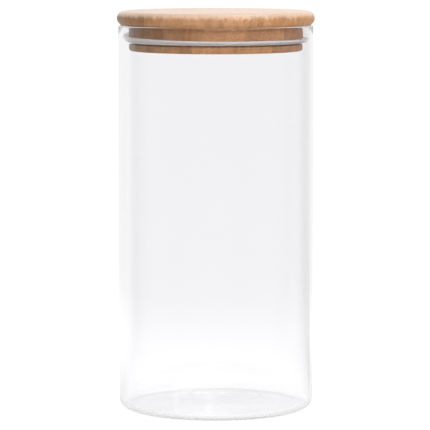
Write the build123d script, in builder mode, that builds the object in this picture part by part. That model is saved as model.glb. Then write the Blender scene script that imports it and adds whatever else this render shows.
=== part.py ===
"""Lidded glass canister: a straight glass jar and a push-in lid of laminated bamboo with a lip seal.

The jar is one piece of glass: a cylinder on a rounded foot, with a dished base and a fire-polished rim.
The lid is turned from a bamboo board of three plies. The top ply is the cap, which rests on the rim.
The two plies below it are the plug, which drops into the mouth. The lowest ply has a neck turned into it,
and the seal sits in the groove that the neck leaves. Each ply is made of slats laid side by side and glued,
because the wall of a bamboo culm gives no wider piece. The slats all run along Y.

Frame: millimetres, +Z up along the axis of the jar. The origin is the centre of the foot, on the surface
that the jar stands on.
"""

import os

from build123d import *

# Glass jar
jar_diameter = 100.0  # outside
jar_height = 198.0  # foot to rim
wall = 2.0
floor_thickness = 2.2
foot_radius = 5.2  # outside corner between wall and base
rim_flat = 0.2  # left between the two fire-polished edges of the rim
foot_ring_width = 7.0  # flat ring that the jar stands on
base_dish = 0.7  # how far the base rises inside that ring

# Slats of each ply, from -X to +X. The first and the last end at the lid's edge, and those between are
# equally wide.
cap_first_slat = 14.75
cap_last_slat = 6.75
cap_slats_between = 4
upper_first_slat = 18.8
upper_last_slat = 10.8
upper_slats_between = 3
lower_first_slat = 12.55
lower_last_slat = 16.55
lower_slats_between = 3
board_margin = 1.0  # of the uncut board around the turned disc

# Cap: the top ply
cap_thickness = 7.0
cap_overhang = 0.75  # past the outside of the jar
cap_edge_radius = 4.0  # of the edge below its widest place
cap_edge_height = 3.5  # of the widest place above the underside
seat_gap = 0.1  # between the rim and the cap's underside

# Plug: the two plies below the cap
plug_gap = 3.2  # between the plug and the bore
upper_ply = 6.6
lower_ply = 6.6
lead_in = 0.25  # how much smaller the radius of the lower ply is
plug_edge_round = 1.2
groove_height = 3.2
groove_depth = 2.6

# Seal
seal_fit = 0.08  # between the seal and its groove
seal_slot = 0.82  # left open under the seal, which the jar drags up to the groove's roof
bore_fit = 0.1  # between the lip and the bore
seal_setback = 0.7  # of the seal's ring, inside the surface of the plug
lip_thickness = 1.1
lip_lean = 1.1  # how much higher the lip's underside is at the bore than at the ring
lip_top = 0.1  # lip's tip above the groove's roof
lip_round = 0.4

jar_radius = jar_diameter / 2
bore_radius = jar_radius - wall
cap_radius = jar_radius + cap_overhang
upper_radius = bore_radius - plug_gap
lower_radius = upper_radius - lead_in
neck_radius = upper_radius - groove_depth

cap_bottom = jar_height + seat_gap
cap_top = cap_bottom + cap_thickness
upper_bottom = cap_bottom - upper_ply
lower_bottom = upper_bottom - lower_ply
groove_roof = upper_bottom
groove_floor = groove_roof - groove_height


def slat_spans(radius, first, last, between):
    """Left and right side of each slat of a ply. The outer sides are those of the uncut board."""
    left_joint = first - radius
    right_joint = radius - last
    width = (right_joint - left_joint) / between
    joints = [left_joint + width * number for number in range(between + 1)]
    sides = [-radius - board_margin, *joints, radius + board_margin]
    return zip(sides, sides[1:])


def write(piece, name):
    """Labels a finished piece and writes it as its own STEP file."""
    piece.label = name
    export_step(piece, f"parts/{name}.step")


def write_slats(disc, spans, name):
    """Cuts a turned disc along its glue joints and writes each slat."""
    box = disc.bounding_box()
    for number, (left, right) in enumerate(spans, start=1):
        with BuildPart() as slat:
            add(disc)
            with BuildSketch(Plane.XY.offset(box.min.Z)):
                with Locations(((left + right) / 2, 0)):
                    Rectangle(right - left, box.size.Y + 2 * board_margin)
            extrude(amount=box.size.Z, mode=Mode.INTERSECT)
        write(slat.part, f"{name}_slat_{number}")


os.makedirs("parts", exist_ok=True)

# The jar's wall, floor, foot and rim are one section turned about Z. The base is dished to a shallow
# dome inside the ring that the jar stands on.
with BuildPart() as glass_jar:
    with BuildSketch(Plane.XZ) as jar_section:
        with BuildLine():
            ring_inside = jar_radius - foot_radius - foot_ring_width
            dome_radius = (ring_inside**2 + base_dish**2) / (2 * base_dish)
            Polyline(
                (ring_inside, 0),
                (jar_radius, 0),
                (jar_radius, jar_height),
                (bore_radius, jar_height),
                (bore_radius, floor_thickness),
                (0, floor_thickness),
                (0, base_dish),
            )
            RadiusArc((0, base_dish), (ring_inside, 0), dome_radius)
        make_face()
        corners = jar_section.vertices()
        fillet(corners.sort_by_distance((jar_radius, 0))[0], foot_radius)
        fillet(corners.sort_by_distance((bore_radius, floor_thickness))[0], foot_radius - wall)
        fillet(corners.sort_by_distance((jar_radius - wall / 2, jar_height))[0:2], (wall - rim_flat) / 2)
    revolve(axis=Axis.Z)
write(glass_jar.part, "glass_jar")

# The cap's edge is widest at cap_edge_height. Above that it rounds over tangent to the top, and below
# that a larger arc meets the underside at a corner.
with BuildPart() as cap_disc:
    with BuildSketch(Plane.XZ):
        with BuildLine():
            edge_drop = cap_edge_radius - (cap_edge_radius**2 - cap_edge_height**2) ** 0.5
            edge_round = cap_thickness - cap_edge_height
            underside = (cap_radius - edge_drop, cap_bottom)
            widest = (cap_radius, cap_bottom + cap_edge_height)
            top = (cap_radius - edge_round, cap_top)
            Polyline(top, (0, cap_top), (0, cap_bottom), underside)
            RadiusArc(underside, widest, -cap_edge_radius)
            RadiusArc(widest, top, -edge_round)
        make_face()
    revolve(axis=Axis.Z)
cap_spans = slat_spans(cap_radius, cap_first_slat, cap_last_slat, cap_slats_between)
write_slats(cap_disc.part, cap_spans, "cap")

# The upper ply of the plug is a plain disc. Its underside is the roof of the seal's groove.
with BuildPart() as upper_disc:
    with BuildSketch(Plane.XY.offset(upper_bottom)):
        Circle(upper_radius)
    extrude(amount=upper_ply)
upper_spans = slat_spans(upper_radius, upper_first_slat, upper_last_slat, upper_slats_between)
write_slats(upper_disc.part, upper_spans, "upper_plug")

# The lower ply is a flange below the neck that the seal sits on.
with BuildPart() as lower_disc:
    with BuildSketch(Plane.XY.offset(lower_bottom)):
        Circle(lower_radius)
    extrude(amount=lower_ply - groove_height)
    fillet(lower_disc.edges().group_by(Axis.Z)[0], plug_edge_round)
    with BuildSketch(Plane.XY.offset(groove_floor)):
        Circle(neck_radius)
    extrude(amount=groove_height)
lower_spans = slat_spans(lower_radius, lower_first_slat, lower_last_slat, lower_slats_between)
write_slats(lower_disc.part, lower_spans, "lower_plug")

# The seal is a ring in the groove with one lip, which leans up and out to the bore.
with BuildPart() as seal_ring:
    with BuildSketch(Plane.XZ) as seal_section:
        with BuildLine():
            ring_bore = neck_radius + seal_fit
            ring_outside = upper_radius - seal_setback
            ring_low = groove_floor + seal_slot
            ring_high = groove_roof - seal_fit
            lip_radius = bore_radius - bore_fit
            Polyline(
                (ring_bore, ring_low),
                (ring_outside, ring_low),
                (lip_radius, ring_low + lip_lean),
                (lip_radius, groove_roof + lip_top),
                (lip_radius - lip_thickness, groove_roof + lip_top),
                (ring_outside, ring_low + lip_thickness),
                (ring_outside, ring_high),
                (ring_bore, ring_high),
                close=True,
            )
        make_face()
        tip = seal_section.vertices().group_by(Axis.X)[-1]
        fillet(tip, lip_round)
    revolve(axis=Axis.Z)
write(seal_ring.part, "seal_ring")
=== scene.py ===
"""Lidded glass canister: a clear glass jar and its push-in lid of laminated bamboo with a lip seal.

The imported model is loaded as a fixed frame, in metres, +Z up, with the centre of the jar's foot at the
origin. Each piece of the object is a surface worked out here from the frame's boxes and a few sizes, and
rides on the body that its node belongs to. The stage is a pale floor, soft lights and a camera.
"""

import math

import bmesh
import bpy
import numpy as np
from bpy.props import FloatProperty, FloatVectorProperty, IntProperty, PointerProperty
from mathutils import Euler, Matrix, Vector


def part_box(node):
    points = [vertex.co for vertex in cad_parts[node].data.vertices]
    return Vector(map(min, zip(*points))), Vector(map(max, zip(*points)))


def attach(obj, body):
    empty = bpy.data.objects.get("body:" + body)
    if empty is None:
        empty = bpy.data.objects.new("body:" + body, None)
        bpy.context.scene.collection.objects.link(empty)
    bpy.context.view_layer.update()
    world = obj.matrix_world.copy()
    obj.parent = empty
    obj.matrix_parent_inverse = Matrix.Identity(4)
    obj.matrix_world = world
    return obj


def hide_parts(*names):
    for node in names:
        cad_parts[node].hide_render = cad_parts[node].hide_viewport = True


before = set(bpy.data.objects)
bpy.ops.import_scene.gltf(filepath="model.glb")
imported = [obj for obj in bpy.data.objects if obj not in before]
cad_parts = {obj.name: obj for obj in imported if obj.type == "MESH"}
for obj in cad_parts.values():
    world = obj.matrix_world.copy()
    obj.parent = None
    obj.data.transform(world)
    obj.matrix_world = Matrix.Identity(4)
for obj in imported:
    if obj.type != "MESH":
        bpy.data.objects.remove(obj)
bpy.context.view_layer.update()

bl_info = {
    "name": "Lidded glass canister",
    "version": (1, 0, 0),
    "blender": (4, 5, 0),
    "location": "View3D > Sidebar > Canister",
    "description": "Builds a glass storage jar with a laminated bamboo lid and a lip seal",
    "category": "Object",
}

MM = 0.001
MERGE_DISTANCE = 1e-7


# Sizes and colours


def length(name, millimetres, description):
    """A length property with its default in millimetres."""
    return FloatProperty(name=name, description=description, default=millimetres * MM, unit="LENGTH")


def tint(name, colour, description):
    """A linear colour property."""
    return FloatVectorProperty(
        name=name, description=description, default=colour, subtype="COLOR", min=0, max=1
    )


class JarSizes(bpy.types.PropertyGroup):
    """Sizes and glass of the jar."""

    wall: length("Wall", 2.0, "Thickness of the wall")
    floor: length("Floor", 2.2, "Height of the inside floor at its middle")
    foot_radius: length("Foot radius", 5.2, "Outside corner between wall and base")
    rim_flat: length("Rim flat", 0.2, "Left between the two rounded edges of the rim")
    foot_ring: length("Foot ring", 7.0, "Width of the flat ring that the jar stands on")
    dish: length("Dish", 0.7, "How far the base rises inside the foot ring")
    rubbed_below: length("Rubbed below", 1.1, "Height under which the foot is fully rubbed")
    clear_above: length("Clear above", 1.6, "Height over which the foot isn't rubbed")
    around: IntProperty(name="Around", description="Steps around the axis", default=256)
    glass: tint("Glass", (0.993, 0.992, 1.0), "Colour of light that has passed the wall")
    ior: FloatProperty(name="IOR", description="Refraction of the glass", default=1.47)


class LidSizes(bpy.types.PropertyGroup):
    """Sizes and bamboo of the lid."""

    edge_height: length("Edge height", 3.5, "Height of the cap's widest place above its underside")
    edge_radius: length("Edge radius", 4.0, "Roundness of the cap's edge below its widest place")
    corner: length("Corner", 0.25, "Sanded roundness of every other edge")
    plug_round: length("Plug round", 1.2, "Roundness of the plug's lowest edge")
    groove_height: length("Groove height", 3.2, "Height of the seal's groove")
    groove_depth: length("Groove depth", 2.6, "Depth of the groove, from the upper ply's side")
    joint_break: length("Joint break", 0.05, "Fine edge break on both sides of a glue joint")
    slat_step: length("Slat step", 0.8, "Spacing of the surface's points across a slat")
    pith: tint("Pith", (0.70, 0.375, 0.19), "Pale tissue between the fibre bundles")
    pith_dark: tint("Dark pith", (0.53, 0.26, 0.125), "Darker bands of that tissue")
    fibre: tint("Fibre", (0.30, 0.135, 0.06), "Fibre bundles")
    # Painted sheen: the pale tint that the bamboo's up-facing side is mixed towards, standing for light
    # glancing off the top.
    painted_sheen: tint("Painted sheen", (0.93, 0.70, 0.53), "Bamboo that light and hands have faded")
    fibre_pitch: length("Fibre pitch", 1.05, "Spacing of the fibre bundles")


class SealSizes(bpy.types.PropertyGroup):
    """Sizes and silicone of the seal."""

    bore: length("Bore", 42.28, "Inside radius of the ring")
    ring: length("Ring", 44.1, "Outside radius of the ring, where the lip starts")
    lip: length("Lip", 1.0, "Thickness of the lip")
    lift: length("Lift", 0.37, "Extra height of the lip on the side where the plug sits closest")
    lift_rate: FloatProperty(name="Lift rate", description="How steeply the lip rises", default=1.66)
    taper: FloatProperty(name="Taper", description="Share of its thickness that the lip loses", default=0.25)
    corner: length("Corner", 0.2, "Roundness of the ring's corners")
    ring_drop: length("Ring drop", 0.18, "Ring's top below the lip's tip")
    clear_from: length("Clear from", 45.2, "Distance from the axis where the lip starts to clear")
    clear_to: length("Clear to", 47.6, "Distance from the axis where the lip is clearest")
    tip_alpha: FloatProperty(name="Tip alpha", description="Opacity of the lip's tip", default=0.35)
    around: IntProperty(name="Around", description="Steps around the axis", default=256)
    silicone: tint("Silicone", (0.83, 0.785, 0.77), "Translucent white silicone")


class StageSizes(bpy.types.PropertyGroup):
    """Camera, floor and lights."""

    distance: length("Distance", 1466.2, "Camera from the jar's axis")
    height: length("Height", 252.6, "Camera above the floor")
    aside: length("Aside", -0.4, "Camera to the side of the jar's axis")
    pitch: FloatProperty(
        name="Pitch", description="Camera below level", default=math.radians(5.95), subtype="ANGLE"
    )
    lens: FloatProperty(name="Lens", description="Focal length in mm", default=238.73)
    floor_size: length("Floor size", 24000, "Side of the square floor")
    floor_gap: length("Floor gap", 0.3, "Floor below the jar's foot, so that the two don't touch")


# Surfaces


def arc(centre, radius, start, end, steps):
    """Circle points: centre + radius * (cos a, sin a), for a from start to end in degrees."""
    angle = np.radians(np.linspace(start, end, steps))
    return np.column_stack((centre[0] + radius * np.cos(angle), centre[1] + radius * np.sin(angle)))


def loop_faces(rows, columns, close_rows):
    """Quads of a grid whose columns close into a loop, with the rows closed too if asked."""
    row = np.arange(rows if close_rows else rows - 1)[:, None]
    column = np.arange(columns)[None, :]
    next_row = (row + 1) % rows
    next_column = (column + 1) % columns
    corners = (
        row * columns + column,
        row * columns + next_column,
        next_row * columns + next_column,
        next_row * columns + column,
    )
    return np.stack(corners, axis=-1).reshape(-1, 4)


def make_piece(name, points, faces, smooth_below=30):
    """A mesh object from points and faces. Doubles are merged, so that poles and seams close, and edges
    sharper than smooth_below degrees stay sharp."""
    mesh = bpy.data.meshes.new(name)
    mesh.from_pydata(points.tolist(), [], faces)
    edit = bmesh.new()
    edit.from_mesh(mesh)
    bmesh.ops.remove_doubles(edit, verts=edit.verts, dist=MERGE_DISTANCE)
    bmesh.ops.recalc_face_normals(edit, faces=edit.faces)
    edit.to_mesh(mesh)
    edit.free()
    mesh.shade_smooth()
    mesh.set_sharp_from_angle(angle=math.radians(smooth_below))
    piece = bpy.data.objects.new(name, mesh)
    bpy.context.scene.collection.objects.link(piece)
    return piece


def turned_piece(name, outline, around):
    """Surface of revolution. The outline's point (r, z) at angle t is (r cos t, r sin t, z). The outline
    starts and ends on the axis."""
    angle = np.linspace(0, 2 * np.pi, around, endpoint=False)
    radius = outline[:, 0][:, None]
    height = np.repeat(outline[:, 1][:, None], around, axis=1)
    points = np.stack((radius * np.cos(angle), radius * np.sin(angle), height), axis=-1)
    return make_piece(name, points.reshape(-1, 3), loop_faces(len(outline), around, False).tolist())


def inset(outline, amount):
    """The outline moved inwards by amount, along its normals. It runs from the axis below to the axis
    above, so its outward normal is its direction turned a quarter clockwise."""
    along = np.gradient(outline, axis=0)
    normal = np.column_stack((along[:, 1], -along[:, 0]))
    normal /= np.linalg.norm(normal, axis=1)[:, None]
    return outline - amount * normal


def slat_section(outline, across):
    """Section of a turned disc at the place x across it, as a closed loop of (y, z).

    The outline holds the disc's half section as (radius, height), from the axis below to the axis above.
    Its point (r, z) stands at y = -sqrt(r² - x²) in front and at +sqrt(r² - x²) behind. A point nearer to
    the axis than x moves along the outline to radius x, where y is 0.
    """
    radius, height = outline.T
    widest = int(np.argmax(radius))
    below = np.interp(across, radius[: widest + 1], height[: widest + 1])
    above = np.interp(across, radius[widest:][::-1], height[widest:][::-1])
    crossing = np.where(np.arange(len(radius)) <= widest, below, above)
    height = np.where(radius < across, crossing, height)
    depth = np.sqrt(np.maximum(radius**2 - across**2, 0))
    front = np.column_stack((-depth, height))
    back = np.column_stack((depth, height))
    return np.concatenate((front, back[::-1]))


def end_face(section, first):
    """The face that closes a slat at one end, from the section's points that differ from the one before."""
    step = np.linalg.norm(section - np.roll(section, 1, axis=0), axis=1)
    return (np.flatnonzero(step > MERGE_DISTANCE) + first).tolist()


def slat_piece(name, outline, left, right, sizes):
    """One slat of a turned disc: the section at x, carried across from left to right.

    A side that is a glue joint ends flat, with a fine edge break. A side at the disc's own edge runs out
    to a point, with its places spaced as a cosine, x = R cos t.
    """
    reach = outline[:, 0].max()
    edge_break = sizes.joint_break
    start_angle = math.acos(np.clip(left / reach, -1, 1))
    end_angle = math.acos(np.clip(right / reach, -1, 1))
    steps = max(int(reach * (start_angle - end_angle) / sizes.slat_step), 8)
    across = reach * np.cos(np.linspace(start_angle, end_angle, steps))
    cut_left = left > -reach + edge_break
    cut_right = right < reach - edge_break
    slim = inset(outline, edge_break)
    across[0] += edge_break * cut_left
    across[-1] -= edge_break * cut_right
    sections = [slat_section(outline, abs(x)) for x in across]
    if cut_left:
        across = np.concatenate(([left], across))
        sections.insert(0, slat_section(slim, abs(left)))
    if cut_right:
        across = np.concatenate((across, [right]))
        sections.append(slat_section(slim, abs(right)))
    count = len(sections[0])
    points = np.empty((len(sections), count, 3))
    points[..., 0] = across[:, None]
    points[..., 1:] = np.stack(sections)
    faces = loop_faces(len(sections), count, False).tolist()
    if cut_left:
        faces.append(end_face(sections[0], 0))
    if cut_right:
        faces.append(end_face(sections[-1], (len(sections) - 1) * count))
    return make_piece(name, points.reshape(-1, 3), faces)


# Materials


def add_node(tree, kind, output=0, inputs=None, **settings):
    """Adds a node, sets it up and returns one of its outputs. An input is a value or another output."""
    node = tree.nodes.new(kind)
    for key, value in settings.items():
        setattr(node, key, value)
    for key, value in (inputs or {}).items():
        if isinstance(value, bpy.types.NodeSocket):
            tree.links.new(value, node.inputs[key])
        else:
            node.inputs[key].default_value = value
    return node.outputs[output]


def math_node(tree, operation, *values, clamp=False):
    """A Math node of these values."""
    inputs = dict(enumerate(values))
    return add_node(tree, "ShaderNodeMath", operation=operation, use_clamp=clamp, inputs=inputs)


def vector_node(tree, operation, *values):
    """A Vector Math node of these values."""
    inputs = dict(enumerate(values))
    return add_node(tree, "ShaderNodeVectorMath", operation=operation, inputs=inputs)


def scaled_noise(tree, vector, scale, detail=2.0, roughness=0.5, output=0):
    """A noise texture with its own scale along each axis, in waves per metre."""
    stretched = vector_node(tree, "MULTIPLY", vector, scale)
    inputs = {"Vector": stretched, "Scale": 1.0, "Detail": detail, "Roughness": roughness}
    return add_node(tree, "ShaderNodeTexNoise", output=output, inputs=inputs)


def mix_colour(tree, factor, first, second, blend="MIX"):
    """A Mix node for colours."""
    node = tree.nodes.new("ShaderNodeMix")
    node.data_type = "RGBA"
    node.blend_type = blend
    for socket, value in ((0, factor), (6, first), (7, second)):
        if isinstance(value, bpy.types.NodeSocket):
            tree.links.new(value, node.inputs[socket])
        else:
            node.inputs[socket].default_value = value
    return node.outputs[2]


def mapped(tree, value, low, high, to_low, to_high):
    """Value carried from low..high to to_low..to_high along a smooth step, and held at the ends."""
    inputs = {"Value": value, "From Min": low, "From Max": high, "To Min": to_low, "To Max": to_high}
    return add_node(tree, "ShaderNodeMapRange", interpolation_type="SMOOTHSTEP", inputs=inputs)


def new_group(name, inputs, outputs):
    """A shader node group with these sockets, as (name, type) or (name, type, default). Returns the group,
    its input node and its output node."""
    group = bpy.data.node_groups.new(name, "ShaderNodeTree")
    for label, kind, *default in inputs:
        socket = group.interface.new_socket(label, in_out="INPUT", socket_type=f"NodeSocket{kind}")
        if default:
            socket.default_value = default[0]
    for label, kind in outputs:
        group.interface.new_socket(label, in_out="OUTPUT", socket_type=f"NodeSocket{kind}")
    return group, group.nodes.new("NodeGroupInput"), group.nodes.new("NodeGroupOutput")


def place_group(tree, group, inputs):
    """Places a node group in a tree and returns its outputs."""
    node = tree.nodes.new("ShaderNodeGroup")
    node.node_tree = group
    for key, value in inputs.items():
        if isinstance(value, bpy.types.NodeSocket):
            tree.links.new(value, node.inputs[key])
        else:
            node.inputs[key].default_value = value
    return node.outputs


def handling_marks():
    """Group: soft patches left by hands, for roughness."""
    name = "handling_marks"
    if name in bpy.data.node_groups:
        return bpy.data.node_groups[name]
    inputs = (
        ("Vector", "Vector"),
        ("Patch Size", "Float", 0.02),
        ("Base", "Float", 0.4),
        ("Spread", "Float", 0.1),
    )
    group, source, target = new_group(name, inputs, (("Roughness", "Float"),))
    per_metre = math_node(group, "DIVIDE", 1.0, source.outputs["Patch Size"])
    scaled = vector_node(group, "SCALE", source.outputs["Vector"])
    group.links.new(per_metre, scaled.node.inputs["Scale"])
    patches = scaled_noise(group, scaled, (1, 1, 1), detail=3.0)
    centred = math_node(group, "SUBTRACT", patches, 0.5)
    spread = math_node(group, "MULTIPLY", centred, source.outputs["Spread"])
    total = math_node(group, "ADD", spread, source.outputs["Base"], clamp=True)
    group.links.new(total, target.inputs["Roughness"])
    return group


def bamboo_grain():
    """Group: bamboo cut from the culm wall, as a pattern in the volume, so that the fibre bundles are
    streaks along Y on a face and dots on an end.

    Bundles are the cells of a Voronoi texture that is stretched along Y. The fibres waver a little all
    along, and swirl around the knot, the place where the culm had a node.
    """
    name = "bamboo_grain"
    if name in bpy.data.node_groups:
        return bpy.data.node_groups[name]
    inputs = (
        ("Vector", "Vector"),
        ("Shift", "Vector"),
        ("Tone", "Float", 0.0),
        ("Knot Place", "Float", 0.0),
        ("Knot Width", "Float", 0.006),
        ("Fibre Pitch", "Float", 0.0015),
        ("Pith", "Color"),
        ("Dark Pith", "Color"),
        ("Fibre", "Color"),
    )
    outputs = (("Color", "Color"), ("Height", "Float"), ("Bundles", "Float"), ("Streaks", "Float"))
    group, source, target = new_group(name, inputs, outputs)
    place = vector_node(group, "ADD", source.outputs["Vector"], source.outputs["Shift"])

    along = add_node(group, "ShaderNodeSeparateXYZ", output=1, inputs={0: source.outputs["Vector"]})
    from_knot = math_node(group, "SUBTRACT", along, source.outputs["Knot Place"])
    share = math_node(group, "DIVIDE", from_knot, source.outputs["Knot Width"])
    falling = math_node(group, "MULTIPLY", math_node(group, "POWER", share, 2.0), -1.0)
    knot = math_node(group, "EXPONENT", falling)

    waver = scaled_noise(group, place, (40, 14, 40), output=1)
    waver = vector_node(group, "MULTIPLY", vector_node(group, "SUBTRACT", waver, (0.5,) * 3), (0.003,) * 3)
    swirl = scaled_noise(group, place, (320, 200, 320), detail=1.5, output=1)
    swirl = vector_node(group, "SUBTRACT", swirl, (0.5,) * 3)
    swirl_scale = vector_node(group, "SCALE", swirl)
    group.links.new(math_node(group, "MULTIPLY", knot, 0.013), swirl_scale.node.inputs["Scale"])
    fibres = vector_node(group, "ADD", vector_node(group, "ADD", place, waver), swirl_scale)

    per_pitch = math_node(group, "DIVIDE", 1.0, source.outputs["Fibre Pitch"])
    cells = vector_node(group, "SCALE", vector_node(group, "MULTIPLY", fibres, (1.0, 0.03, 1.0)))
    group.links.new(per_pitch, cells.node.inputs["Scale"])
    voronoi = add_node(group, "ShaderNodeTexVoronoi", inputs={"Vector": cells, "Scale": 1.0}).node
    size = add_node(group, "ShaderNodeSeparateColor", inputs={0: voronoi.outputs["Color"]})
    edge = math_node(group, "ADD", math_node(group, "MULTIPLY", size, 0.22), 0.22)
    core = math_node(group, "MULTIPLY", edge, 0.45)
    bundle_range = add_node(
        group,
        "ShaderNodeMapRange",
        interpolation_type="SMOOTHSTEP",
        inputs={"Value": voronoi.outputs["Distance"], "From Min": edge, "From Max": core},
    )
    hairs = scaled_noise(group, fibres, (2600, 60, 2600), detail=2.0)
    rays = scaled_noise(group, fibres, (560, 9, 170), detail=2.5)
    broad = scaled_noise(group, place, (60, 12, 45), detail=1.0)

    ray_mask = mapped(group, rays, 0.32, 0.68, 0.08, 0.75)
    ground = mix_colour(group, ray_mask, source.outputs["Pith"], source.outputs["Dark Pith"])
    knot_share = math_node(group, "ADD", math_node(group, "MULTIPLY", knot, 0.5), 0.35)
    bundle_strength = math_node(group, "MULTIPLY", bundle_range, knot_share)
    fibred = mix_colour(group, bundle_strength, ground, source.outputs["Fibre"])
    hair_level = math_node(group, "ADD", math_node(group, "MULTIPLY", hairs, 0.34), 0.83)
    broad_level = math_node(group, "ADD", math_node(group, "MULTIPLY", broad, 0.3), 0.85)
    level = math_node(group, "MULTIPLY", hair_level, broad_level)
    # The slat's lightness, partly its own and partly painted light and shade.
    level = math_node(group, "ADD", level, source.outputs["Tone"])
    level = math_node(group, "SUBTRACT", level, math_node(group, "MULTIPLY", knot, 0.05))
    combined = add_node(group, "ShaderNodeCombineColor", inputs={0: level, 1: level, 2: level})
    colour = mix_colour(group, 1.0, fibred, combined, blend="MULTIPLY")
    relief = math_node(group, "ADD", math_node(group, "MULTIPLY", bundle_range, 0.5), hairs)
    group.links.new(colour, target.inputs["Color"])
    group.links.new(relief, target.inputs["Height"])
    group.links.new(bundle_range, target.inputs["Bundles"])
    streaks = mapped(group, rays, 0.35, 0.65, 0.5, -0.5)
    stronger = math_node(group, "ADD", math_node(group, "MULTIPLY", knot, 0.7), 1.0)
    group.links.new(math_node(group, "MULTIPLY", streaks, stronger), target.inputs["Streaks"])
    return group


def new_material(name):
    """A material with its tree, Principled BSDF and output, and the Object coordinates."""
    material = bpy.data.materials.new(name)
    material.use_nodes = True
    tree = material.node_tree
    shader = tree.nodes["Principled BSDF"]
    place = add_node(tree, "ShaderNodeTexCoord", output="Object")
    return material, tree, shader, place


def bamboo(name, roughness, painted_sheen_share):
    """Sanded bamboo with a thin satin oil. On the side that faces up its colour is mixed towards a pale
    tint, a painted sheen that stands for light glancing off the top. Each slat brings its own place in the
    pattern, lightness and knot; the lightness is partly the slat's own and partly painted light and shade."""
    if name in bpy.data.materials:
        return bpy.data.materials[name]
    sizes = bpy.context.scene.canister_lid
    material, tree, shader, place = new_material(name)
    grain = place_group(
        tree,
        bamboo_grain(),
        {
            "Vector": place,
            "Shift": add_node(tree, "ShaderNodeAttribute", output="Vector", attribute_name="grain_shift"),
            "Tone": add_node(tree, "ShaderNodeAttribute", output="Fac", attribute_name="tone_and_painted_light"),
            "Knot Place": add_node(tree, "ShaderNodeAttribute", output="Fac", attribute_name="knot_place"),
            "Fibre Pitch": sizes.fibre_pitch,
            "Pith": (*sizes.pith, 1),
            "Dark Pith": (*sizes.pith_dark, 1),
            "Fibre": (*sizes.fibre, 1),
        },
    )
    marks = place_group(tree, handling_marks(), {"Vector": place, "Base": roughness, "Spread": 0.16})
    dull = math_node(tree, "MULTIPLY", grain["Bundles"], 0.06)
    total = math_node(tree, "ADD", marks["Roughness"], dull, clamp=True)
    bump = add_node(
        tree,
        "ShaderNodeBump",
        inputs={"Height": grain["Height"], "Strength": 0.35, "Distance": 0.00005},
    )
    facing = add_node(tree, "ShaderNodeNewGeometry", output="Normal")
    upward = add_node(tree, "ShaderNodeSeparateXYZ", output=2, inputs={0: facing})
    # Painted sheen: the up-facing side, broken up along the grain's streaks, is mixed towards the pale tint,
    # to stand for light glancing off the top.
    uneven = math_node(tree, "MULTIPLY", grain["Streaks"], 0.22)
    painted_sheen = mapped(tree, math_node(tree, "ADD", upward, uneven), 0.0, 0.7, 0.0, painted_sheen_share)
    colour = mix_colour(tree, painted_sheen, grain["Color"], (*sizes.painted_sheen, 1))
    tree.links.new(colour, shader.inputs["Base Color"])
    tree.links.new(total, shader.inputs["Roughness"])
    tree.links.new(bump, shader.inputs["Normal"])
    shader.inputs["Specular IOR Level"].default_value = 0.15
    tree.links.new(mapped(tree, upward, 0.1, 0.7, 0.02, 0.5), shader.inputs["Coat Weight"])
    shader.inputs["Coat Roughness"].default_value = 0.2
    return material


def clear_glass():
    """Borosilicate glass: faint ripples along the drawn wall, handling marks, and clear to lamps."""
    name = "clear_glass"
    if name in bpy.data.materials:
        return bpy.data.materials[name]
    sizes = bpy.context.scene.canister_jar
    material, tree, shader, place = new_material(name)
    shader.inputs["Base Color"].default_value = (*sizes.glass, 1)
    shader.inputs["Transmission Weight"].default_value = 1.0
    shader.inputs["IOR"].default_value = sizes.ior
    marks = place_group(
        tree, handling_marks(), {"Vector": place, "Patch Size": 0.035, "Base": 0.006, "Spread": 0.02}
    )
    height = add_node(tree, "ShaderNodeSeparateXYZ", output=2, inputs={0: place})
    rubbed = mapped(tree, height, sizes.rubbed_below, sizes.clear_above, 0.3, 0.0)
    roughness = math_node(tree, "ADD", marks["Roughness"], rubbed)
    ripples = scaled_noise(tree, place, (60, 60, 5), detail=1.0)
    bump = add_node(
        tree, "ShaderNodeBump", inputs={"Height": ripples, "Strength": 0.08, "Distance": 0.0002}
    )
    tree.links.new(roughness, shader.inputs["Roughness"])
    tree.links.new(bump, shader.inputs["Normal"])
    lamp_ray = add_node(tree, "ShaderNodeLightPath", output="Is Shadow Ray")
    clear = add_node(tree, "ShaderNodeBsdfTransparent", inputs={"Color": (0.965, 0.965, 0.965, 1)})
    mixed = add_node(
        tree, "ShaderNodeMixShader", inputs={0: lamp_ray, 1: shader.outputs[0], 2: clear}
    )
    tree.links.new(mixed, tree.nodes["Material Output"].inputs["Surface"])
    return material


def axis_distance(tree, place):
    """Distance of place from the Z axis."""
    parts = add_node(tree, "ShaderNodeSeparateXYZ", inputs={0: place}).node.outputs
    flat = add_node(tree, "ShaderNodeCombineXYZ", inputs={0: parts["X"], 1: parts["Y"]})
    return add_node(tree, "ShaderNodeVectorMath", output="Value", operation="LENGTH", inputs={0: flat})


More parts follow.
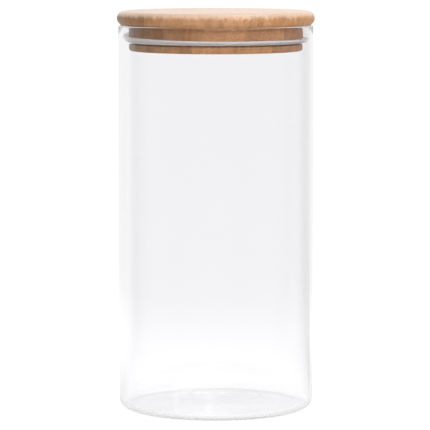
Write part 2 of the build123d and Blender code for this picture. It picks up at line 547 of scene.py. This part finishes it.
def silicone():
    """Translucent white silicone: soft, matt, with a little light through it."""
    name = "seal_silicone"
    if name in bpy.data.materials:
        return bpy.data.materials[name]
    sizes = bpy.context.scene.canister_seal
    material, tree, shader, place = new_material(name)
    marks = place_group(
        tree, handling_marks(), {"Vector": place, "Patch Size": 0.006, "Base": 0.42, "Spread": 0.2}
    )
    cloud = scaled_noise(tree, place, (90, 90, 90), detail=2.0)
    deep = [0.93 * value for value in sizes.silicone]
    colour = mix_colour(tree, cloud, (*sizes.silicone, 1), (*deep, 1))
    grain = scaled_noise(tree, place, (1800, 1800, 1800), detail=1.0)
    bump = add_node(
        tree, "ShaderNodeBump", inputs={"Height": grain, "Strength": 0.15, "Distance": 0.00003}
    )
    tree.links.new(colour, shader.inputs["Base Color"])
    tree.links.new(marks["Roughness"], shader.inputs["Roughness"])
    tree.links.new(bump, shader.inputs["Normal"])
    reach = axis_distance(tree, place)
    alpha = mapped(tree, reach, sizes.clear_from, sizes.clear_to, 1.0, sizes.tip_alpha)
    tree.links.new(alpha, shader.inputs["Alpha"])
    shader.inputs["IOR"].default_value = 1.41
    shader.inputs["Subsurface Weight"].default_value = 0.3
    shader.inputs["Subsurface Radius"].default_value = (1.0, 0.85, 0.75)
    shader.inputs["Subsurface Scale"].default_value = 0.0012
    return material


# Pieces


def finish_piece(piece, material, body, slot, *nodes):
    """Gives a piece its material and body, and hides the nodes that it stands for. The slot is not used."""
    piece.data.materials.append(material)
    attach(piece, body)
    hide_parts(*nodes)


def slat_nodes(ply):
    """Names of a ply's slats, from -X to +X."""
    return sorted(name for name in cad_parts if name.startswith(ply + "_slat"))


def disc_outline(radius, low, high, low_round, high_round):
    """Half section of a disc with rounded edges, from the axis below to the axis above."""
    support = 2 * max(low_round, high_round)
    return np.concatenate(
        (
            [(0, low), (radius - low_round - support, low)],
            arc((radius - low_round, low + low_round), low_round, -90, 0, 7),
            arc((radius - high_round, high - high_round), high_round, 0, 90, 7),
            [(radius - high_round - support, high), (0, high)],
        )
    )


def cap_outline(sizes, radius, low, high):
    """Half section of the cap. Above its widest place the edge is a quarter circle, and below that a
    larger arc that meets the underside at a softened corner."""
    widest = low + sizes.edge_height
    edge_round = high - widest
    drop = math.degrees(math.asin((sizes.edge_height - sizes.corner) / sizes.edge_radius))
    lower = arc((radius - sizes.edge_radius, widest), sizes.edge_radius, -drop, 0, 12)
    upper = arc((radius - edge_round, widest), edge_round, 0, 90, 16)
    corner = (lower[0, 0] - sizes.corner / 2, low)
    return np.concatenate(
        (
            [(0, low), (corner[0] - 2 * sizes.corner, low), corner],
            lower,
            upper[1:],
            [(radius - edge_round - sizes.corner, high), (0, high)],
        )
    )


def lower_plug_outline(sizes, radius, neck, low, high):
    """Half section of the plug's lower ply: a flange with rounded edges, and above it the neck that the
    seal sits on."""
    flange_top = high - sizes.groove_height
    corner = sizes.corner
    return np.concatenate(
        (
            [(0, low), (radius - sizes.plug_round - corner, low)],
            arc((radius - sizes.plug_round, low + sizes.plug_round), sizes.plug_round, -90, 0, 10),
            arc((radius - corner, flange_top - corner), corner, 0, 90, 7),
            [(neck, flange_top), (neck, high), (0, high)],
        )
    )


def ply_box(ply):
    """Radius, lowest and highest height of a ply, from the boxes of its slats."""
    boxes = [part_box(name) for name in slat_nodes(ply)]
    low = np.min([box[0] for box in boxes], axis=0)
    high = np.max([box[1] for box in boxes], axis=0)
    radius = max(high[0], high[1], -low[0], -low[1])
    return float(radius), float(low[2]), float(high[2])


# Each slat's lightness, and the place of its knot along Y in millimetres, from -X to +X. A knot far past the
# disc's edge leaves the slat without one. The lightness is partly the slats' own and partly painted light
# and shade:
# the cap's slats grow lighter towards +X, where the key lamp stands, and each plug ply's end slats are
# darker and its middle slats lighter.
SLATS = {
    "cap": ((-0.24, 200), (-0.07, 70), (-0.05, -130), (0.01, -47), (0.06, -37), (0.1, 300)),
    "upper_plug": ((-0.18, 200), (0.04, 160), (0.28, -45), (0.1, -40), (-0.16, 90)),
    "lower_plug": ((-0.22, -200), (-0.12, 120), (0.06, 180), (0.0, 75), (-0.18, -90)),
}


def build_ply(ply, outline, material, slot):
    """Builds a ply's slats on their nodes' places."""
    sizes = bpy.context.scene.canister_lid
    draw = np.random.default_rng(sum(map(ord, ply)))
    reach = outline[:, 0].max()
    names = slat_nodes(ply)
    for number, (name, (tone_and_painted_light, knot)) in enumerate(zip(names, SLATS[ply], strict=True)):
        low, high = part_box(name)
        left = -reach if number == 0 else low.x
        right = reach if number == len(names) - 1 else high.x
        piece = slat_piece(name + "_bamboo", outline, left, right, sizes)
        shift = draw.uniform(-1, 1, 3)
        count = len(piece.data.vertices)
        # Each slat's lightness, partly its own and partly painted light and shade, goes in as an attribute.
        for label, kind, value in (
            ("grain_shift", "FLOAT_VECTOR", shift),
            ("tone_and_painted_light", "FLOAT", [tone_and_painted_light]),
            ("knot_place", "FLOAT", [knot * MM]),
        ):
            attribute = piece.data.attributes.new(label, kind, "POINT")
            field = "vector" if kind == "FLOAT_VECTOR" else "value"
            attribute.data.foreach_set(field, np.tile(np.asarray(value, np.float32), count))
        finish_piece(piece, material, "lid", slot, name)


class CANISTER_OT_glass_jar(bpy.types.Operator):
    """Builds the glass jar"""

    bl_idname = "canister.glass_jar"
    bl_label = "Glass jar"

    def execute(self, context):
        sizes = context.scene.canister_jar
        low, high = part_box("glass_jar")
        radius = high.x
        bore = radius - sizes.wall
        ring_out = radius - sizes.foot_radius
        ring_in = ring_out - sizes.foot_ring
        rim_round = (sizes.wall - sizes.rim_flat) / 2
        inner_round = sizes.foot_radius - sizes.wall
        dish_radius = np.linspace(0, ring_in, 60)
        dish_height = sizes.dish * (1 + np.cos(np.pi * dish_radius / ring_in)) / 2
        wall_heights = np.linspace(high.z - rim_round, sizes.floor + inner_round, 40)[1:-1]
        outline = np.concatenate(
            (
                np.column_stack((dish_radius, dish_height)),
                [((ring_in + ring_out) / 2, 0), (ring_out - sizes.rim_flat, 0)],
                arc((ring_out, sizes.foot_radius), sizes.foot_radius, -90, 0, 28),
                np.column_stack((np.full_like(wall_heights, radius), wall_heights[::-1])),
                arc((radius - rim_round, high.z - rim_round), rim_round, 0, 90, 12),
                arc((bore + rim_round, high.z - rim_round), rim_round, 90, 180, 12),
                np.column_stack((np.full_like(wall_heights, bore), wall_heights)),
                arc((bore - inner_round, sizes.floor + inner_round), inner_round, 0, -90, 20),
                [(bore - inner_round - sizes.rim_flat, sizes.floor), (0, sizes.floor)],
            )
        )
        piece = turned_piece("jar_glass", outline, sizes.around)
        finish_piece(piece, clear_glass(), "jar", "glass", "glass_jar")
        return {"FINISHED"}


class CANISTER_OT_lid_cap(bpy.types.Operator):
    """Builds the slats of the lid's cap"""

    bl_idname = "canister.lid_cap"
    bl_label = "Lid cap"

    def execute(self, context):
        sizes = context.scene.canister_lid
        outline = cap_outline(sizes, *ply_box("cap"))
        material = bamboo("sanded_cap", roughness=0.42, painted_sheen_share=0.6)
        build_ply("cap", outline, material, "cap_bamboo")
        return {"FINISHED"}


class CANISTER_OT_lid_plug(bpy.types.Operator):
    """Builds the slats of the lid's plug: its upper ply and its lower ply"""

    bl_idname = "canister.lid_plug"
    bl_label = "Lid plug"

    def execute(self, context):
        sizes = context.scene.canister_lid
        radius, low, high = ply_box("upper_plug")
        neck = radius - sizes.groove_depth
        outline = disc_outline(radius, low, high, sizes.corner, sizes.corner)
        material = bamboo("sanded_plug", roughness=0.5, painted_sheen_share=0.1)
        build_ply("upper_plug", outline, material, "plug_bamboo")
        radius, low, high = ply_box("lower_plug")
        outline = lower_plug_outline(sizes, radius, neck, low, high)
        build_ply("lower_plug", outline, material, "plug_bamboo")
        return {"FINISHED"}


class CANISTER_OT_lip_seal(bpy.types.Operator):
    """Builds the lip seal"""

    bl_idname = "canister.lip_seal"
    bl_label = "Lip seal"

    def execute(self, context):
        sizes = context.scene.canister_seal
        low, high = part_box("seal_ring")
        reach = high.x
        half = sizes.lip / 2
        corner = sizes.corner
        ring_high = high.z - sizes.ring_drop
        span = reach - sizes.ring
        along = np.linspace(0, 1, 18)
        # The lip's middle line leaves the ring level and bends up to the tip along a quarter of an ellipse.
        root = low.z + half
        tip = high.z - half
        turn = 0.5 * np.pi * along
        middle_r = sizes.ring + (span - half) * np.sin(turn)
        middle_z = root + (tip - root) * (1 - np.cos(turn))
        slope = np.gradient(np.column_stack((middle_r, middle_z)), axis=0)
        slope /= np.linalg.norm(slope, axis=1)[:, None]
        normal = np.column_stack((slope[:, 1], -slope[:, 0]))
        thickness = half * (1 - sizes.taper * along)[:, None]
        middle = np.column_stack((middle_r, middle_z))
        under = middle + normal * thickness
        over = (middle - normal * thickness)[::-1]
        end_angle = math.degrees(math.atan2(normal[-1, 1], normal[-1, 0]))
        round_tip = arc(middle[-1], thickness[-1, 0], end_angle, end_angle + 180, 10)[1:-1]
        outline = np.concatenate(
            (
                arc((sizes.bore + corner, low.z + corner), corner, 180, 270, 5),
                under,
                round_tip,
                over,
                arc((sizes.ring - corner, ring_high - corner), corner, 0, 90, 5),
                arc((sizes.bore + corner, ring_high - corner), corner, 90, 180, 5),
            )
        )
        angle = np.linspace(0, 2 * np.pi, sizes.around, endpoint=False)
        # The lip's tip rises where the plug sits closest to the bore, towards -X.
        lift = sizes.lift * (np.exp(-sizes.lift_rate * np.cos(angle)) - 1)
        share = np.clip((outline[:, 0] - sizes.ring) / span, 0, 1) ** 2
        radius = outline[:, 0][:, None]
        height = outline[:, 1][:, None] + share[:, None] * lift
        points = np.stack((radius * np.cos(angle), radius * np.sin(angle), height), axis=-1)
        faces = loop_faces(len(outline), sizes.around, True).tolist()
        piece = make_piece("lip_seal", points.reshape(-1, 3), faces, smooth_below=50)
        finish_piece(piece, silicone(), "seal", "silicone", "seal_ring")
        return {"FINISHED"}


# Stage


# Name, place, target height on the axis, width, height, watts, and whether reflections show the lamp
LAMPS = (
    ("key", (0.68, -1.17, 0.86), 0.2, 1.6, 1.2, 10.8, True),
    ("top", (0.25, 0.1, 1.15), 0.2, 0.5, 0.6, 3.4, True),
    ("bounce", (0.0, -0.55, -0.0001), 0.2, 1.0, 0.5, 2.2, False),
    ("front", (0.1, -1.2, 0.45), 0.19, 1.0, 0.36, 2.9, True),
)


def soft_light(name, place, target_height, width, height, strength, seen):
    """An area light at place that faces the axis, and that reflections show only if it is seen."""
    light = bpy.data.lights.new(name, "AREA")
    light.shape = "RECTANGLE"
    light.size = width
    light.size_y = height
    light.energy = strength
    lamp = bpy.data.objects.new(name, light)
    lamp.location = place
    lamp.visible_camera = False
    lamp.visible_glossy = seen
    lamp.visible_transmission = seen
    lamp.rotation_euler = (Vector((0, 0, target_height)) - Vector(place)).to_track_quat("-Z", "Y").to_euler()
    bpy.context.scene.collection.objects.link(lamp)


def bounced(tree):
    """0 for a ray from the camera that has made no diffuse or glossy bounce, and 1 after one."""
    path = add_node(tree, "ShaderNodeLightPath").node.outputs
    total = math_node(tree, "ADD", path["Diffuse Depth"], path["Glossy Depth"])
    return math_node(tree, "MINIMUM", total, 1.0)


def room_level(tree, place, back):
    """How bright the room is in the direction of place, seen from the object's axis: dim in front, a
    little brighter at the sides, and back straight behind. The bright part is turned slightly to -X."""
    parts = add_node(tree, "ShaderNodeSeparateXYZ", inputs={0: place}).node.outputs
    reach = axis_distance(tree, place)
    turned = math_node(tree, "SUBTRACT", parts["Y"], math_node(tree, "MULTIPLY", parts["X"], 0.2))
    towards_back = math_node(tree, "DIVIDE", turned, math_node(tree, "MAXIMUM", reach, 1e-6))
    side = mapped(tree, towards_back, -0.8, 0.3, 0.06, 0.3)
    behind = mapped(tree, towards_back, 0.4, 0.85, 0.0, back - 0.3)
    return math_node(tree, "ADD", side, behind)


def pale_floor():
    """A white floor that looks evenly lit, with a faint shadow around the jar that is partly cast by the
    lamps and partly a painted shadow, where the glow seen without a bounce drops towards the jar's axis. As
    light on the object and as a reflection in it, the floor is dimmer in front, because the studio is lit
    from behind."""
    material, tree, shader, place = new_material("pale_floor")
    shader.inputs["Roughness"].default_value = 1.0
    shader.inputs["Specular IOR Level"].default_value = 0.0
    shader.inputs["Emission Color"].default_value = (1, 1, 1, 1)
    level = room_level(tree, place, 0.9)
    reach = axis_distance(tree, place)
    nearer = math_node(tree, "ADD", level, 0.1)
    around = mapped(tree, reach, 0.2, 0.6, nearer, level)
    lit = mapped(tree, reach, 0.06, 0.28, 0.82, around)
    shadowed = mapped(tree, reach, 0.15, 0.5, 0.1, 0.04)
    # Painted shadow: the glow seen without a bounce drops from 1.0 to 0.92 towards the jar's axis.
    direct_glow_painted_shadow = mapped(tree, reach, 0.03, 0.08, 0.92, 1.0)
    tree.links.new(shadowed, shader.inputs["Base Color"])
    glow = add_node(
        tree,
        "ShaderNodeMapRange",
        inputs={"Value": bounced(tree), "To Min": direct_glow_painted_shadow, "To Max": lit},
    )
    tree.links.new(glow, shader.inputs["Emission Strength"])
    return material


def studio_world():
    """A white room. As light on the object it is bright low behind and dim elsewhere."""
    world = bpy.data.worlds.new("studio")
    bpy.context.scene.world = world
    world.use_nodes = True
    tree = world.node_tree
    direction = add_node(tree, "ShaderNodeTexCoord", output="Generated")
    level = room_level(tree, direction, 0.93)
    height = add_node(tree, "ShaderNodeSeparateXYZ", output=2, inputs={0: direction})
    low_sky = math_node(tree, "MULTIPLY", level, mapped(tree, height, 0.05, 0.12, 0.97, 1.15))
    lit = mapped(tree, height, 0.5, 0.85, low_sky, 0.45)
    strength = add_node(
        tree,
        "ShaderNodeMapRange",
        inputs={"Value": bounced(tree), "To Min": 1.0, "To Max": lit},
    )
    background = tree.nodes["Background"]
    background.inputs["Color"].default_value = (1, 1, 1, 1)
    tree.links.new(strength, background.inputs["Strength"])


class CANISTER_OT_stage(bpy.types.Operator):
    """Builds the floor, the lights and the camera"""

    bl_idname = "canister.stage"
    bl_label = "Stage"

    def execute(self, context):
        scene = context.scene
        sizes = scene.canister_stage
        half = sizes.floor_size / 2
        level = -sizes.floor_gap
        corners = [(-half, -half, level), (half, -half, level), (half, half, level), (-half, half, level)]
        mesh = bpy.data.meshes.new("floor")
        mesh.from_pydata(corners, [], [(0, 1, 2, 3)])
        floor = bpy.data.objects.new("floor", mesh)
        scene.collection.objects.link(floor)
        mesh.materials.append(pale_floor())
        studio_world()
        # Light runs a long way up and down inside the glass wall.
        scene.cycles.max_bounces = 400
        scene.cycles.glossy_bounces = 200
        scene.cycles.transmission_bounces = 400

        for lamp in LAMPS:
            soft_light(*lamp)
        scene.view_settings.view_transform = "Standard"

        camera = bpy.data.cameras.new("camera")
        camera.lens = sizes.lens
        camera.sensor_width = 36
        camera.clip_start = 0.05
        camera.clip_end = 60
        view = bpy.data.objects.new("camera", camera)
        view.location = (sizes.aside, -sizes.distance, sizes.height)
        view.rotation_euler = Euler((math.pi / 2 - sizes.pitch, 0, 0))
        scene.collection.objects.link(view)
        scene.camera = view
        return {"FINISHED"}


class CANISTER_PT_build(bpy.types.Panel):
    """Lists the operators that build the canister"""

    bl_idname = "CANISTER_PT_build"
    bl_label = "Lidded glass canister"
    bl_space_type = "VIEW_3D"
    bl_region_type = "UI"
    bl_category = "Canister"

    def draw(self, context):
        for operator in OPERATORS:
            self.layout.operator(operator.bl_idname)


SETTINGS = {
    "canister_jar": JarSizes,
    "canister_lid": LidSizes,
    "canister_seal": SealSizes,
    "canister_stage": StageSizes,
}
OPERATORS = (
    CANISTER_OT_glass_jar,
    CANISTER_OT_lid_cap,
    CANISTER_OT_lid_plug,
    CANISTER_OT_lip_seal,
    CANISTER_OT_stage,
)
CLASSES = (*SETTINGS.values(), *OPERATORS, CANISTER_PT_build)


def register():
    for item in CLASSES:
        bpy.utils.register_class(item)
    for name, group in SETTINGS.items():
        setattr(bpy.types.Scene, name, PointerProperty(type=group))


def unregister():
    for name in SETTINGS:
        delattr(bpy.types.Scene, name)
    for item in reversed(CLASSES):
        bpy.utils.unregister_class(item)


def main():
    register()
    bpy.ops.canister.glass_jar()
    bpy.ops.canister.lid_cap()
    bpy.ops.canister.lid_plug()
    bpy.ops.canister.lip_seal()
    bpy.ops.canister.stage()


if __name__ == "__main__":
    main()
